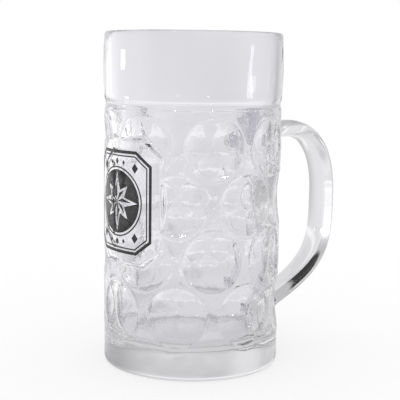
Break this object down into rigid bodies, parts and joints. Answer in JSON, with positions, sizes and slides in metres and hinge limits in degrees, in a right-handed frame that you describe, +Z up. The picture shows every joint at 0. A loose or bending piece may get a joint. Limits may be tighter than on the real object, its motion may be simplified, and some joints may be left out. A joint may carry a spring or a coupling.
{
  "type": "glass beer stein",
  "caption": "Tall clear glass beer stein with staggered round lens dimples, a plain eight-sided panel, a plain lip band and a loop handle of applied glass.",
  "frame": {"origin": "centre of the flat base, on the vessel's axis, at the surface it stands on", "axes": "+Z up along the vessel's axis towards the lip, +X towards the handle, with the panel facing -X"},
  "size_m": [0.1678, 0.1084, 0.2],
  "materials": {
    "clear_glass": "fire-polished clear soda-lime glass, pressed",
    "handle_glass": "fire-polished clear soda-lime glass, drawn strap"
  },
  "bodies": {
    "root": {"stein_body": "clear_glass", "handle": "handle_glass"}
  },
  "joints": []
}
